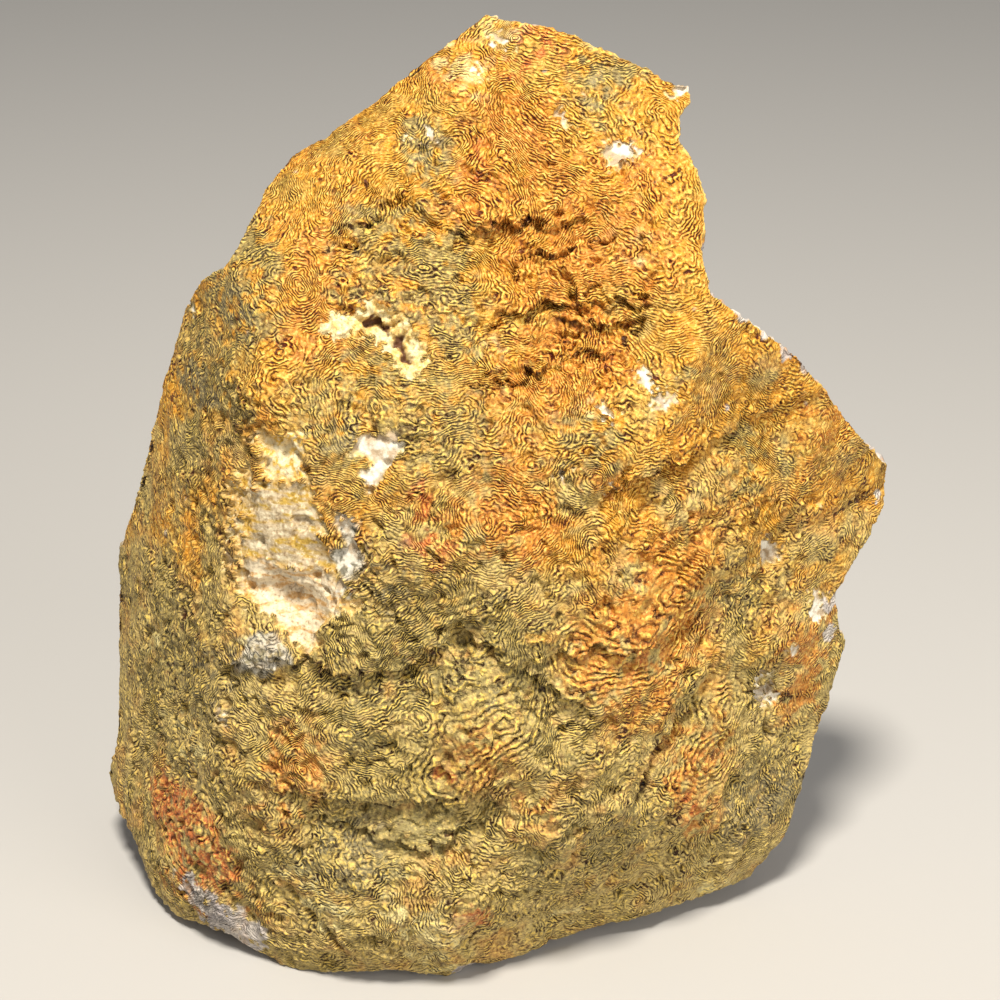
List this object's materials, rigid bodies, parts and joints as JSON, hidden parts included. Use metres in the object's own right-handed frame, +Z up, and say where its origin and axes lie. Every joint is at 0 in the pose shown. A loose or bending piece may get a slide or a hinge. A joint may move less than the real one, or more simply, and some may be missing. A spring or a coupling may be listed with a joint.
{
  "type": "geode",
  "caption": "Broken wall piece of a geode: wrinkled ochre rind outside, broken quartz rim and a crystal-lined hollow behind, standing on its lower rim.",
  "frame": {"origin": "centre of the bounding box in plan, on the plane of the flat spot that it rests on", "axes": "+Z up, the longest extent, +X to the right seen from the rind, +Y from the rind towards the hollow, the shortest extent"},
  "size_m": [0.1718, 0.0868, 0.1917],
  "materials": {
    "rind_and_quartz": "rough"
  },
  "bodies": {
    "root": {"geode": "rind_and_quartz"}
  },
  "joints": []
}
